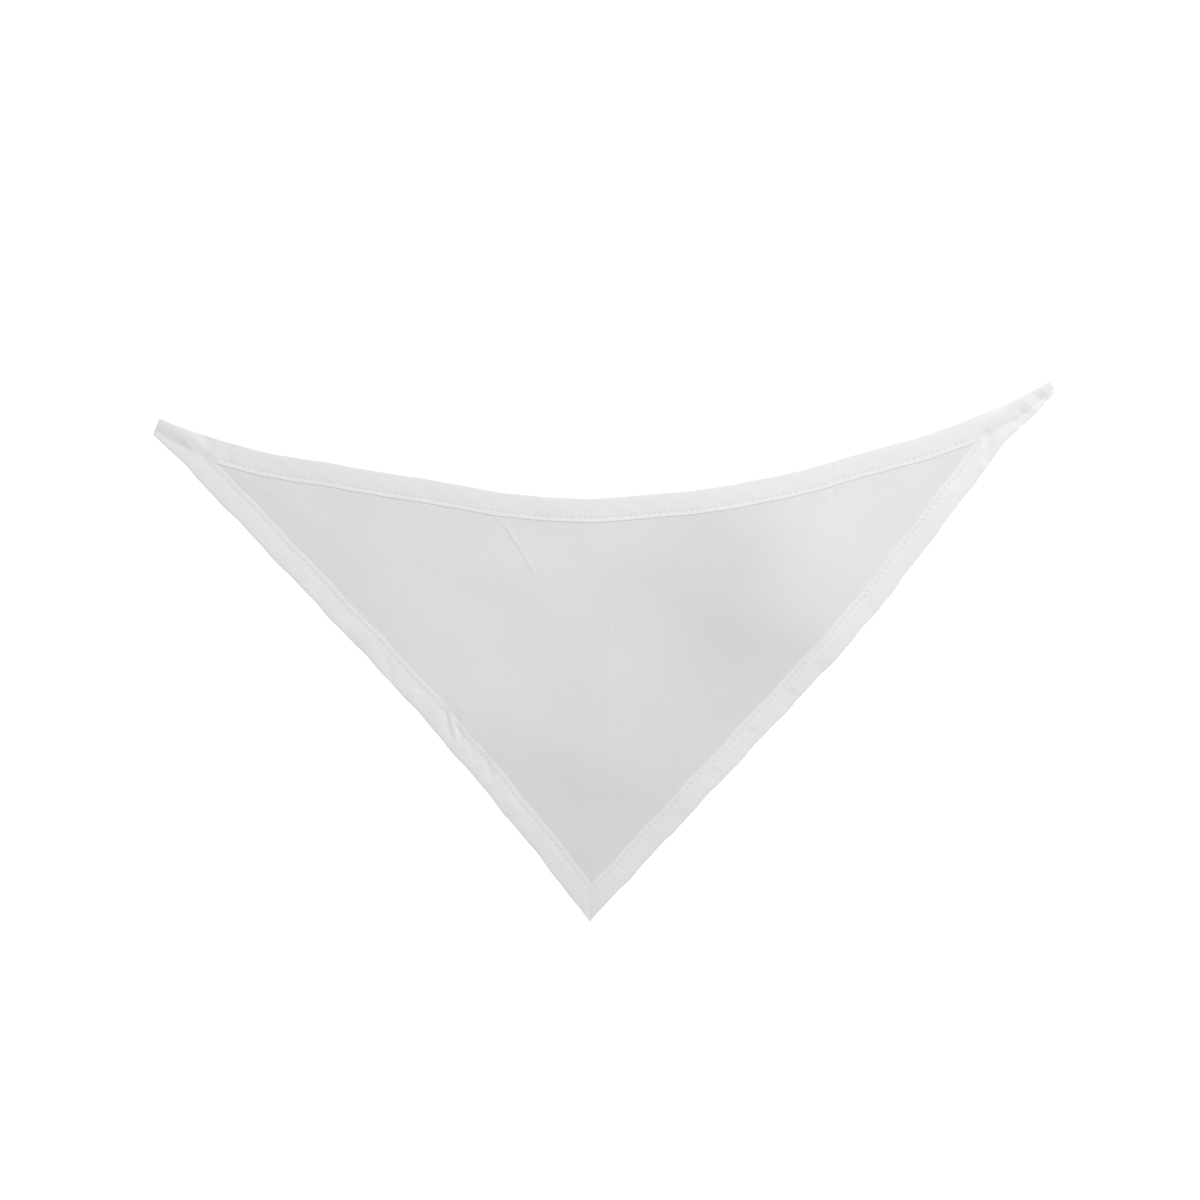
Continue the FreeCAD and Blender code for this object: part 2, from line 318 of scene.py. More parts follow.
HEM_CREASES = [
    # the pressed crease across the long edge's hem
    ([(0.1835, 0.170), (0.1860, 0.140), (0.1865, 0.118)], -0.36 * MM, 3.0 * MM, 1.2 * MM),
    ([(0.1875, 0.170), (0.1900, 0.140), (0.1905, 0.118)], 0.24 * MM, 1.2 * MM, 2.0 * MM),
    # puckers across the left leg's hem
    ([(-0.2075, 0.0125), (-0.2010, 0.0010), (-0.1990, -0.010)], -0.45 * MM, 3.2 * MM, 2.2 * MM),
    ([(-0.1810, 0.0000), (-0.1765, -0.0150), (-0.1740, -0.028)], -0.60 * MM, 3.2 * MM, 1.8 * MM),
    ([(-0.1310, -0.0440), (-0.1285, -0.0600), (-0.1245, -0.076)], -0.85 * MM, 2.4 * MM, 1.7 * MM),
    ([(-0.1285, -0.0490), (-0.1240, -0.0630), (-0.1180, -0.075)], 0.45 * MM, 1.6 * MM, 1.6 * MM),
    ([(-0.1215, -0.0500), (-0.1195, -0.0650), (-0.1150, -0.078)], -0.60 * MM, 1.8 * MM, 2.0 * MM),
    ([(-0.1120, -0.0680), (-0.1090, -0.0840), (-0.1060, -0.094)], -0.50 * MM, 2.6 * MM, 2.0 * MM),
    ([(-0.0980, -0.0830), (-0.0945, -0.0960), (-0.0920, -0.108)], -0.75 * MM, 2.2 * MM, 2.0 * MM),
    ([(-0.2420, 0.0560), (-0.2420, 0.0380)], 0.40 * MM, 4.5 * MM, 3.5 * MM),
    ([(-0.2160, 0.0300), (-0.2170, 0.0120)], 0.50 * MM, 5.0 * MM, 3.5 * MM),
    ([(-0.1560, -0.0300), (-0.1580, -0.0480)], 0.55 * MM, 5.0 * MM, 3.5 * MM),
    ([(-0.0760, -0.1180), (-0.0750, -0.1360)], 0.45 * MM, 5.5 * MM, 4.0 * MM),
    # puckers across the right leg's hem
    ([(0.1560, -0.0300), (0.1500, -0.0420), (0.1480, -0.051)], -0.70 * MM, 2.2 * MM, 3.0 * MM),
    ([(0.1230, -0.0620), (0.1180, -0.0730), (0.1165, -0.084)], -0.80 * MM, 2.0 * MM, 2.8 * MM),
    ([(0.1150, -0.0700), (0.1115, -0.0830), (0.1090, -0.092)], -0.50 * MM, 2.0 * MM, 2.6 * MM),
    ([(0.0920, -0.0950), (0.0880, -0.1080)], -0.40 * MM, 2.6 * MM, 3.2 * MM),
    ([(0.2160, 0.0400), (0.2220, 0.0240)], -0.35 * MM, 4.5 * MM, 4.5 * MM),
    ([(0.1760, -0.0080), (0.1790, -0.0260)], -0.40 * MM, 4.0 * MM, 5.0 * MM),
    ([(0.0620, -0.1280), (0.0640, -0.1480)], -0.40 * MM, 4.5 * MM, 4.5 * MM),
    # soft waves across the long edge's hem
    ([(-0.1450, 0.1480), (-0.1490, 0.1200)], -0.30 * MM, 6.0 * MM, 5.0 * MM),
    ([(-0.0520, 0.1360), (-0.0500, 0.1080)], 0.26 * MM, 6.0 * MM, 6.0 * MM),
    ([(0.0950, 0.1420), (0.0980, 0.1140)], -0.26 * MM, 6.0 * MM, 6.0 * MM),
    # the left tie end's soft crumples
    ([(-0.3300, 0.1860), (-0.3270, 0.1700), (-0.3280, 0.150)], -0.32 * MM, 3.0 * MM, 2.4 * MM),
    ([(-0.3210, 0.1800), (-0.3180, 0.1660), (-0.3150, 0.150)], 0.30 * MM, 2.8 * MM, 2.8 * MM),
    ([(-0.3120, 0.1780), (-0.3090, 0.1660), (-0.3050, 0.150)], -0.26 * MM, 2.6 * MM, 2.4 * MM),
    ([(-0.3560, 0.1860), (-0.3430, 0.1740), (-0.3330, 0.158)], 0.34 * MM, 3.0 * MM, 3.6 * MM),
    ([(-0.3600, 0.1780), (-0.3480, 0.1710), (-0.3400, 0.163)], -0.24 * MM, 2.2 * MM, 2.8 * MM),
    ([(-0.2980, 0.1720), (-0.2930, 0.1600), (-0.2900, 0.146)], -0.18 * MM, 3.0 * MM, 2.4 * MM),
    # the right tie end's stronger ones
    ([(0.3140, 0.1840), (0.3145, 0.1660), (0.3135, 0.150)], -0.95 * MM, 1.6 * MM, 3.4 * MM),
    ([(0.3060, 0.1840), (0.3090, 0.1660), (0.3080, 0.145)], 0.42 * MM, 3.0 * MM, 1.8 * MM),
    ([(0.3290, 0.1960), (0.3215, 0.1820), (0.3190, 0.168)], 0.46 * MM, 2.4 * MM, 2.4 * MM),
    ([(0.3380, 0.2040), (0.3290, 0.1900), (0.3270, 0.178)], -0.40 * MM, 2.0 * MM, 2.4 * MM),
    ([(0.3360, 0.1980), (0.3395, 0.1900), (0.3400, 0.180)], 0.48 * MM, 2.4 * MM, 1.6 * MM),
    ([(0.3430, 0.1990), (0.3420, 0.1900), (0.3400, 0.182)], -0.90 * MM, 2.4 * MM, 3.4 * MM),
    ([(0.3420, 0.2070), (0.3500, 0.1990), (0.3560, 0.196)], 0.50 * MM, 2.4 * MM, 2.4 * MM),
    ([(0.3480, 0.2130), (0.3560, 0.2060), (0.3670, 0.205)], -0.65 * MM, 1.8 * MM, 2.0 * MM),
    ([(0.3560, 0.2170), (0.3620, 0.2120), (0.3690, 0.212)], 0.40 * MM, 2.4 * MM, 2.4 * MM),
]


def calm(places):
    """From EDGE_CALM at the hems, whose weight holds them down, to 1 well inside the cloth."""
    nearest = np.full(len(places), np.inf)
    for edge in (long_edge, right_leg, left_leg):
        nearest = np.minimum(nearest, edge.distance(places, every=8))
    return EDGE_CALM + (1 - EDGE_CALM) * smooth_step(nearest / CALM_REACH)


def gap_to_line(places, start, end):
    """How far places in plan are from a straight line between two points."""
    way = end - start
    share = np.clip((places - start) @ way / (way @ way), 0, 1)
    return np.linalg.norm(places - start - share[:, None] * way, axis=1)


def ground(places):
    """The height of the cloth's underside over the floor, at places in plan."""
    height = np.full(len(places), GROUND_MIDDLE)
    for wavelength, heading, start, rise in RIPPLES:
        way = np.array([math.cos(math.radians(heading)), math.sin(math.radians(heading))])
        aside = places @ np.array([-way[1], way[0]])
        bent = places @ way + CREST_SWING * np.sin(2 * math.pi * aside / CREST_LENGTH + 5 * start)
        height += rise * np.sin(2 * math.pi * (bent / wavelength + start))
    height *= calm(places)
    for start, end, reach, rise in ROLLS:
        gap = gap_to_line(places, np.array(start), np.array(end))
        height += rise * np.exp(-((gap / reach) ** 2))
    for points, rise, left, right in PANEL_CREASES + HEM_CREASES:
        height += crease(places, points, rise, left, right)
    spare = height - GROUND_LOWEST
    return GROUND_LOWEST + 0.5 * (spare + np.sqrt(spare**2 + GROUND_SOFTNESS**2))


def overlap(places, edges):
    """From 0 to 1, how far places are within the hems of the edges."""
    found = np.zeros(len(places))
    for edge in edges:
        found += smooth_step((HEM_WIDTH + RAMP - edge.distance(places)) / RAMP)
    return np.clip(found, 0, 1)


def wobble(along, inset, length):
    """An uneven wave between -1 and 1 on a strip, about as long as length."""
    along = 2 * math.pi * along / length
    inset = 2 * math.pi * inset / (0.55 * length)
    waves = np.sin(along + 0.8 * np.sin(0.37 * along)) * np.cos(inset + 0.41 * along)
    return 0.6 * waves + 0.4 * np.sin(1.73 * along - 1.4 * inset + 1.1)


def hem_top(inset):
    """The flat place of the hem's top: it sinks gently from the full height at the outer fold to
    the pressed inner edge."""
    pressed = CLOTH + TUCK_GAP + PRESSED
    share = (inset - FOLD_RADIUS) / (HEM_WIDTH - FOLD_RADIUS)
    return HEM_TOP + (pressed - HEM_TOP) * smooth_step(share)


# How high the turned-over layer puffs up: a pillow between the outer fold and the stitches, a
# lip inside them, and blisters all over. The stitches pull it down into a groove with a hole
# at each end of a stitch, and into puckers on both sides.
PILLOW = 0.16 * MM
LIP = 0.03 * MM
BLISTER = 0.09 * MM
BLISTER_LENGTH = 0.043
GROOVE = 0.04 * MM
HOLE = 0.15 * MM
GROOVE_WIDTH = 0.8 * MM
PUCKER = 0.06 * MM
PUCKER_REACH = 5.5 * MM
PUCKER_LENGTH = 0.061


def hem_puff(along, inset, width, sewn):
    """How far the turned-over layer stands above its flat place; sewn is 1 along the stitches
    and falls to 0 where the hem runs on over another one."""
    inset = inset * HEM_WIDTH / width
    full = sewn * smooth_step((width - 0.85 * HEM_WIDTH) / (0.12 * HEM_WIDTH))
    holes = 0.5 + 0.5 * np.cos(2 * math.pi * along / STITCH)
    outside = np.clip(inset / STITCH_INSET, 0, 1)
    within = np.clip((inset - STITCH_INSET) / (HEM_WIDTH - STITCH_INSET), 0, 1)
    across = np.clip(inset / HEM_WIDTH, 0, 1)
    pillow = PILLOW * np.sin(math.pi * outside) ** 0.8
    lip = LIP * np.sin(math.pi * within)
    row = np.exp(-(((inset - STITCH_INSET) / GROOVE_WIDTH) ** 2))
    groove = -(GROOVE + HOLE * holes**3) * row
    reach = np.exp(-np.abs(inset - STITCH_INSET) / PUCKER_REACH)
    unevenness = 1 + 0.7 * wobble(along, 0 * inset, PUCKER_LENGTH)
    puckers = -PUCKER * (holes - 0.5) * reach * unevenness
    blisters = BLISTER * wobble(along, inset, BLISTER_LENGTH) * np.sin(math.pi * across)
    return pillow + full * (lip + groove + puckers) + blisters


# ---------------------------------------------------------------- meshes


SHARP_ANGLE = math.radians(55)


def make_piece(name, points, faces, uvs, material):
    """A mesh object; uvs holds the warp and weft place of each point, in metres."""
    mesh = bpy.data.meshes.new(name)
    mesh.from_pydata([tuple(point) for point in points], [], [tuple(face) for face in faces])
    layer = mesh.uv_layers.new(name="Weave")
    corner_points = np.empty(len(mesh.loops), dtype=np.int32)
    mesh.loops.foreach_get("vertex_index", corner_points)
    layer.data.foreach_set("uv", np.asarray(uvs)[corner_points].astype(np.float32).ravel())
    mesh.shade_smooth()
    mesh.set_sharp_from_angle(angle=SHARP_ANGLE)
    mesh.materials.append(material)
    piece = bpy.data.objects.new(name, mesh)
    bpy.context.scene.collection.objects.link(piece)
    return piece


# The warp's heading.
GRAIN = math.radians(49.0)


def weave_place(places):
    """Where places in plan are along the warp and the weft, which run along the two legs."""
    warp = np.array([math.cos(GRAIN), math.sin(GRAIN)])
    weft = np.array([-warp[1], warp[0]])
    return np.stack([places @ warp, places @ weft], axis=-1)


# ---------------------------------------------------------------- the panels


# How far from an edge's ends its first and last place on the panel's outline are.
CORNER_GAP = 0.8 * MM

# The rows of points beside a crease, from its right to its left.
CREASE_ROWS = np.array([-3.2, -2.1, -1.2, -0.5, 0.1, 0.7, 1.5, 2.5]) * MM
CREASE_SPACING = 1.5 * MM

# Longer than half of any fold line.
FOLD_HALF = 0.24


def panel_outline():
    """The cloth's flat layer: out to where it turns up into the hem's outer fold."""
    stations = []
    for edge in (long_edge, right_leg, left_leg):
        near_ends = [[CORNER_GAP], edge.along[2:-2:2], [edge.length - CORNER_GAP]]
        along = np.concatenate(near_ends)
        stations.append(edge.at(along, np.full(len(along), FOLD_RADIUS)))
    return np.vstack(stations)


def cut_along(outline, fold, reach, keep_beyond):
    """The part of a closed outline on one side of a line parallel to a fold line, with evenly
    spaced points on the cut, the same ones whichever side is kept."""
    sign = 1.0 if keep_beyond else -1.0
    beyond = sign * (fold.beyond(outline) - reach)
    kept, leaving = [], 0
    ahead = np.roll(outline, -1, axis=0)
    for here, there, near, far in zip(outline, ahead, beyond, np.roll(beyond, -1)):
        if near >= 0:
            kept.append(here)
        if (near >= 0) != (far >= 0):
            kept.append(here + (there - here) * near / (near - far))
            if near >= 0:
                leaving = len(kept) - 1
    start, end = kept[leaving], kept[(leaving + 1) % len(kept)]
    low, high = sorted([(start - fold.place) @ fold.line, (end - fold.place) @ fold.line])
    first = math.ceil(low / PANEL_SPACING + 0.3)
    last = math.floor(high / PANEL_SPACING - 0.3)
    base = fold.place + fold.outward * reach
    between = [base + fold.line * PANEL_SPACING * step for step in range(first, last + 1)]
    if (end - start) @ fold.line < 0:
        between.reverse()
    return np.array(kept[: leaving + 1] + between + kept[leaving + 1 :])


def inside(outline, places):
    """Which places lie inside a closed outline."""
    found = np.zeros(len(places), dtype=bool)
    for (x, y), (x_next, y_next) in zip(outline, np.roll(outline, -1, axis=0)):
        if y == y_next:
            continue
        crosses = (places[:, 1] < y) != (places[:, 1] < y_next)
        found ^= crosses & (places[:, 0] < x + (places[:, 1] - y) * (x_next - x) / (y_next - y))
    return found


def grid(low, high, step_x, step_y):
    """Staggered rows of places, which make nearly even triangles."""
    rows = np.arange(math.floor(low[1] / step_y), math.ceil(high[1] / step_y) + 1)
    columns = np.arange(math.floor(low[0] / step_x), math.ceil(high[0] / step_x) + 1)
    x, row = np.meshgrid(columns, rows)
    return np.stack([(x + 0.5 * (row % 2)) * step_x, row * step_y], axis=-1).reshape(-1, 2)


def rows_beside(points, insets, spacing):
    """Rows of places beside a line of points, at each of the insets to its left."""
    points = np.array(points)
    line = np.vstack([arc_points(a, b, 0, spacing) for a, b in zip(points, points[1:])])
    line = softened(line, 3 * spacing, spacing)
    way = np.gradient(line, axis=0)
    left = np.stack([-way[:, 1], way[:, 0]], axis=1) / np.linalg.norm(way, axis=1)[:, None]
    return np.vstack([line + inset * left for inset in insets])


def panel_places(outline, bends):
    """The panel's inner points: an even grid, with fine rows along each bend and crease."""
    low, high = outline.min(axis=0), outline.max(axis=0)
    places = grid(low, high, PANEL_SPACING, 0.866 * PANEL_SPACING)
    fine = []
    for fold in bends:
        rows = grid((-FOLD_HALF, -BEND_REACH), (FOLD_HALF, BEND_REACH), PANEL_SPACING, BEND_SPACING)
        rows = rows[np.abs(rows[:, 1]) <= BEND_REACH - 0.4 * BEND_SPACING]
        fine.append(fold.place + rows[:, :1] * fold.line + rows[:, 1:] * fold.outward)
        places = places[np.abs(fold.beyond(places)) > BEND_REACH + 0.2 * PANEL_SPACING]
    for points, _, _, _ in PANEL_CREASES:
        rows = rows_beside(points, CREASE_ROWS, CREASE_SPACING)
        for fold in bends:
            rows = rows[np.abs(fold.beyond(rows)) > BEND_REACH + 0.2 * PANEL_SPACING]
        places = places[gap_to_points(places, rows) > CREASE_SPACING]
        fine.append(rows)
    places = np.vstack([places] + fine)
    places = places[inside(outline, places)]
    return places[gap_to_points(places, outline) > 0.45 * BEND_SPACING]


def make_panel(name, outline, bends, material):
    """A closed piece of cloth one layer thick over an outline in plan."""
    inner = panel_places(outline, bends)
    wanted = [Vector(place / MM) for place in np.vstack([outline, inner])]
    found = delaunay_2d_cdt(wanted, [], [list(range(len(outline)))], 1, 1e-4)
    places = np.array([tuple(place) for place in found[0]]) * MM
    faces = np.array(found[2])
    corners = places[faces]
    first, second = corners[:, 1] - corners[:, 0], corners[:, 2] - corners[:, 0]
    downward = first[:, 0] * second[:, 1] < first[:, 1] * second[:, 0]
    faces[downward] = faces[downward][:, ::-1]
    count = len(places)
    under = ground(places)
    top = np.column_stack([places, under + CLOTH])
    bottom = np.column_stack([places, under])
    sides = np.vstack([faces[:, [0, 1]], faces[:, [1, 2]], faces[:, [2, 0]]])
    known = {(a, b) for a, b in sides.tolist()}
    rim = [(b, a, a + count, b + count) for a, b in known if (b, a) not in known]
    rim.sort()
    all_faces = faces.tolist() + (faces[:, ::-1] + count).tolist() + rim
    uvs = np.tile(weave_place(places), (2, 1))
    piece = make_piece(name, np.vstack([top, bottom]), all_faces, uvs, material)
    area = 0.5 * np.abs(first[:, 0] * second[:, 1] - first[:, 1] * second[:, 0]).sum()
    size = outline.max(axis=0) - outline.min(axis=0)
    return piece, tuple(size), area


# ---------------------------------------------------------------- the hems


LEAST_WIDTH = 0.4 * MM


def free_width(edge, other, margin, share):
    """How wide the hem can be at each station before it comes within margin + share x inset of
    another edge: share 0 lets it run on to that edge, and share 1 stops it at the mitre."""
    widths = np.full(len(edge.along), HEM_WIDTH)
    insets = np.linspace(0, HEM_WIDTH, 201)
    count = len(other.run_on)
    steps = np.arange(0, count - 1, 0.2)
    ways = [np.interp(steps, np.arange(count), other.run_on[:, i]) for i in (0, 1)]
    closely = np.stack(ways, axis=1)
    for index in np.flatnonzero(other.distance(edge.points) < 2.4 * HEM_WIDTH):
        line = edge.points[index] + insets[:, None] * edge.inward[index]
        blocked = gap_to_points(line, closely) < margin + share * insets
        if blocked.any():
            widths[index] = max(insets[np.argmax(blocked)], LEAST_WIDTH)
    return widths


TOP_INSETS = (1.5, 3, 5, 7, 9, 11, 12.6, 14, 15, 15.5, 16, 16.5, 17.2, 18.2, 19.0)
UNDER_INSETS = (15, 10, 6)


def section():
    """The hem's cross-section, once round from the underside of its outer fold: each point's
    inset, its rise over the ground, and its shares of the lift and of the puff."""
    rows = []
    for turn in np.linspace(-90, 90, 9):
        cosine, sine = math.cos(math.radians(turn)), math.sin(math.radians(turn))
        share = (1 + sine) / 2
        rows.append((FOLD_RADIUS * (1 - cosine), FOLD_RADIUS * (1 + sine), share, share**2))
    for inset in TOP_INSETS:
        rows.append((inset * MM, hem_top(inset * MM), 1, 1))
    for turn in np.linspace(90, -90, 7):
        cosine, sine = math.cos(math.radians(turn)), math.sin(math.radians(turn))
        rise = CLOTH - SUNK + (TUCK_GAP + SUNK + PRESSED) * (1 + sine) / 2
        rows.append((HEM_WIDTH - PRESSED * (1 - cosine), rise, 1, (1 + sine) / 2))
    for inset in UNDER_INSETS:
        rows.append((inset * MM, CLOTH + TUCK_GAP, 1, 0))
    rows.append((TUCK_START, CLOTH + TUCK_GAP, 1, 0))
    rows.append((TUCK_START, 2 * CLOTH, 1, 0))
    rows.append((FOLD_RADIUS, 2 * CLOTH, 1, 0))
    rows.append((CLOTH, FOLD_RADIUS, 0.5, 0))
    rows.append((FOLD_RADIUS, CLOTH, 0, 0))
    return np.array(rows).T


class Hem:
    """One edge's hem: how wide it is and how high it stands, anywhere along it."""

    WIDTH_SOFTNESS = 2.0 * MM

    def __init__(self, edge, widths, lies_over, lies_under):
        self.edge = edge
        pair = np.column_stack([widths, widths])
        self.widths = softened(pair, self.WIDTH_SOFTNESS, edge.spacing)[:, 0]
        self.lies_over = lies_over
        self.lies_under = lies_under

    def width(self, along):
        return np.interp(along, self.edge.along, self.widths)

    def heights(self, along, inset, rise, lift, puff):
        """Points of the hem: along and inset in plan, and rise, lift and puff from section()."""
        places = self.edge.at(along, inset).reshape(-1, 2)
        over = overlap(places, self.lies_over)
        under = overlap(places, self.lies_under)
        width = self.width(along)
        full = hem_puff(along, inset, width, 1 - over.reshape(along.shape)).ravel()
        inner = (inset * HEM_WIDTH / width - MERGE_START) / MERGE_REACH
        merged = 1 - MERGE * smooth_step(inner).ravel()
        height = ground(places) + rise.ravel() + lift.ravel() * LAYER_LIFT * over * merged
        height += puff.ravel() * full * (1 - under)
        return np.column_stack([places, height])


# The stations that round off a hem's tip, the height that the tip closes to, and how near to
# the ends of a stretch its other stations come.
TIPS = np.array([0, 0.12, 0.35, 0.7]) * MM
TIP_HEIGHT = 0.65 * HEM_TOP
STATION_GAP = 0.2 * MM


def make_hem(name, hem, start, end, straight_grain, material):
    """A closed strip of turned hem between two places along its edge."""
    along = hem.edge.along
    along = along[(along > start + STATION_GAP) & (along < end - STATION_GAP)]
    close_start, close_end = start == 0, end == hem.edge.length
    head = start + TIPS if close_start else [start]
    tail = end - TIPS[::-1] if close_end else [end]
    along = np.concatenate([head, along, tail])
    inset, rise, lift, puff = section()
    count, around = len(along), len(inset)
    widths = hem.width(along)
    insets = inset[None, :] * (widths / HEM_WIDTH)[:, None]
    alongs = np.repeat(along[:, None], around, axis=1)
    from_tip = np.full(count, HEM_WIDTH)
    if close_start:
        from_tip = np.minimum(from_tip, along - start)
    if close_end:
        from_tip = np.minimum(from_tip, end - along)
    closing = np.sqrt(1 - (1 - np.clip(from_tip / MM, 0.03, 1)) ** 2)[:, None]
    rises = TIP_HEIGHT + (rise[None, :] - TIP_HEIGHT) * closing
    shares = [np.repeat(share[None, :], count, axis=0) for share in (lift, puff)]
    points = hem.heights(alongs, insets, rises, *shares)
    ring = np.arange(around)
    here = (np.arange(count - 1)[:, None] * around + ring).ravel()
    beside = (np.arange(count - 1)[:, None] * around + np.roll(ring, -1)).ravel()
    faces = np.column_stack([here, here + around, beside + around, beside]).tolist()
    faces.append(ring.tolist())
    faces.append((ring + (count - 1) * around)[::-1].tolist())
    section_steps = np.hypot(np.diff(inset), np.diff(rise))
    unrolled = np.concatenate([[0], np.cumsum(section_steps)])
    uvs = np.stack([alongs.ravel(), np.tile(unrolled, count)], axis=1)
    if not straight_grain:
        uvs = uvs @ np.array([[1, 1], [-1, 1]]) / math.sqrt(2)
    return make_piece(name, points, faces, uvs, material)


# ---------------------------------------------------------------- the sewing threads


# One stitch: where its rings stand as shares of its length, how thick it is there, and how far
# it dips into the cloth. It lies a little askew to the row.
RING_PLACES = np.array([0.04, 0.12, 0.28, 0.5, 0.72, 0.88, 0.96])
RING_RADII = THREAD_RADIUS * np.array([0.5, 0.85, 1.0, 1.0, 1.0, 0.85, 0.5])
RING_DIPS = np.array([0.55, 0.22, 0.02, -0.04, 0.02, 0.22, 0.55]) * MM
RING_SIDES = 6
FLATTENED = 0.8
SLANT = 0.12 * MM
THREAD_LIFT = 0.05 * MM

# A stitch is left out where the hem is narrower than this share of its full width, and where
# it lies over another hem by more than this share of the overlap.
SEWN_WIDTH = 0.97
SEWN_OVERLAP = 0.3


def make_stitches(name, hem, start, end, on_top, material):
    """A row of separate stitches, each a short bar that dips into the cloth at both ends."""
    first, last = math.ceil(start / STITCH), math.floor(end / STITCH)
    holes = np.arange(first, last) * STITCH
    least = SEWN_WIDTH * HEM_WIDTH
    wide = (hem.width(holes) > least) & (hem.width(holes + STITCH) > least)
    row_places = hem.edge.at(holes, np.full(len(holes), STITCH_INSET))
    crossed = overlap(row_places, hem.lies_over) > SEWN_OVERLAP
    holes = holes[wide & ~crossed]
    along = holes[:, None] + RING_PLACES[None, :] * STITCH
    slant = SLANT * (2 * RING_PLACES - 1)
    inset = np.full(along.shape, STITCH_INSET) + slant[None, :]
    row, ones = np.zeros(along.shape), np.ones(along.shape)
    if on_top:
        flat = hem.heights(along, inset, hem_top(inset), ones, row)
        between = (np.round(along / STITCH - 0.5) + 0.5) * STITCH
        lift = hem_puff(between, inset, hem.width(along), 1)
        flat[:, 2] += lift.ravel() + THREAD_LIFT
        up = 1.0
    else:
        flat = hem.heights(along, inset, row, row, row)
        up = -1.0
    count = len(RING_PLACES)
    centres = flat.reshape(len(holes), count, 3)
    centres[:, :, 2] -= up * RING_DIPS
    sides = hem.edge.at(along, inset + MM) - hem.edge.at(along, inset)
    sides /= np.linalg.norm(sides, axis=2)[:, :, None]
    ring = np.arange(RING_SIDES)
    turns = ring * 2 * math.pi / RING_SIDES
    across = np.cos(turns)[None, None, :, None] * sides[:, :, None, :]
    points = np.empty((len(holes), count, RING_SIDES, 3))
    points[..., :2] = centres[:, :, None, :2] + RING_RADII[None, :, None, None] * across
    points[..., 2] = centres[:, :, None, 2] + FLATTENED * RING_RADII[None, :, None] * np.sin(turns)
    near = np.arange(count - 1)[:, None] * RING_SIDES
    far = near + RING_SIDES
    beside = np.roll(ring, -1)
    quads = np.stack([near + ring, near + beside, far + beside, far + ring]).reshape(4, -1).T
    caps = [ring[::-1], ring + RING_SIDES * (count - 1)]
    faces = []
    for stitch in range(len(holes)):
        base = stitch * RING_SIDES * count
        faces += (quads + base).tolist()
        faces += [(cap + base).tolist() for cap in caps]
    twist = np.broadcast_to(ring * THREAD_RADIUS, (len(holes), count, RING_SIDES))
    run = np.broadcast_to(along[:, :, None], twist.shape)
    uvs = np.stack([run.ravel(), twist.ravel()], axis=1)
    return make_piece(name, points.reshape(-1, 3), faces, uvs, material)


# ---------------------------------------------------------------- materials


class Shader:
    """A material's nodes, made one after another."""

    def __init__(self, name):
        self.material = bpy.data.materials.new(name)
        self.material.use_nodes = True
        self.nodes = self.material.node_tree.nodes
        self.links = self.material.node_tree.links
        self.surface = self.nodes["Principled BSDF"]

    def connect(self, value, socket):
        if isinstance(value, (int, float)):
            socket.default_value = value
        else:
            self.links.new(value, socket)

    def math(self, operation, *values):
        node = self.nodes.new("ShaderNodeMath")
        node.operation = operation
        for value, socket in zip(values, node.inputs):
            self.connect(value, socket)
        return node.outputs[0]

    def distance(self, vector, place):
        node = self.nodes.new("ShaderNodeVectorMath")
        node.operation = "DISTANCE"
        self.links.new(vector, node.inputs[0])
        node.inputs[1].default_value = place
        return node.outputs["Value"]

    def noise(self, vector, scale, detail):
        node = self.nodes.new("ShaderNodeTexNoise")
        node.inputs["Scale"].default_value = scale
        node.inputs["Detail"].default_value = detail
        self.links.new(vector, node.inputs["Vector"])
        return node.outputs["Fac"]

    def scaled(self, vector, scale):
        node = self.nodes.new("ShaderNodeMapping")
        node.inputs["Scale"].default_value = scale
        self.links.new(vector, node.inputs["Vector"])
        return node.outputs["Vector"]

    def weave_map(self):
        node = self.nodes.new("ShaderNodeUVMap")
        node.uv_map = "Weave"
        return node.outputs["UV"]

    def colour(self, factor, dark, light):
        """A neutral tone between dark and light."""
        node = self.nodes.new("ShaderNodeMix")
        node.data_type = "RGBA"
        self.links.new(factor, node.inputs["Factor"])
        node.inputs["A"].default_value = (dark, dark, dark, 1)
        node.inputs["B"].default_value = (light, light, light, 1)
        self.links.new(node.outputs["Result"], self.surface.inputs["Base Color"])

    def bump(self, height, strength, distance):
        node = self.nodes.new("ShaderNodeBump")
        node.inputs["Strength"].default_value = strength
        node.inputs["Distance"].default_value = distance
        self.links.new(height, node.inputs["Height"])
        self.links.new(node.outputs["Normal"], self.surface.inputs["Normal"])


YARN_PITCH = 0.55 * MM
PLY_LENGTH = 0.9 * MM
BUMP_DEPTH = 0.10 * MM
THREAD_BUMP_DEPTH = 0.08 * MM

# How many to the metre: slubs along and across their yarn, clouds, mottling, the fibres of the
# thread and the floor's grain.
SLUBS_ALONG = 90
SLUBS_ACROSS = 1800
CLOUDS = 14.0
MOTTLING = 420.0
FIBRES = 9000.0
FLOOR_GRAIN = 300.0

# Painted shade and painted light: soft patches where the panel's tone is made greyer or whiter to stand
# in for how the light falls across it: place, reach and tone.
PAINTED_LIGHT_AND_SHADE_PATCHES = [
    ((0.100, 0.000), 0.055, -0.42),
    ((0.085, 0.085), 0.052, -0.42),
    ((-0.140, -0.010), 0.065, 0.32),
    ((-0.010, -0.140), 0.060, -0.12),
    ((0.215, 0.100), 0.050, 0.40),
]


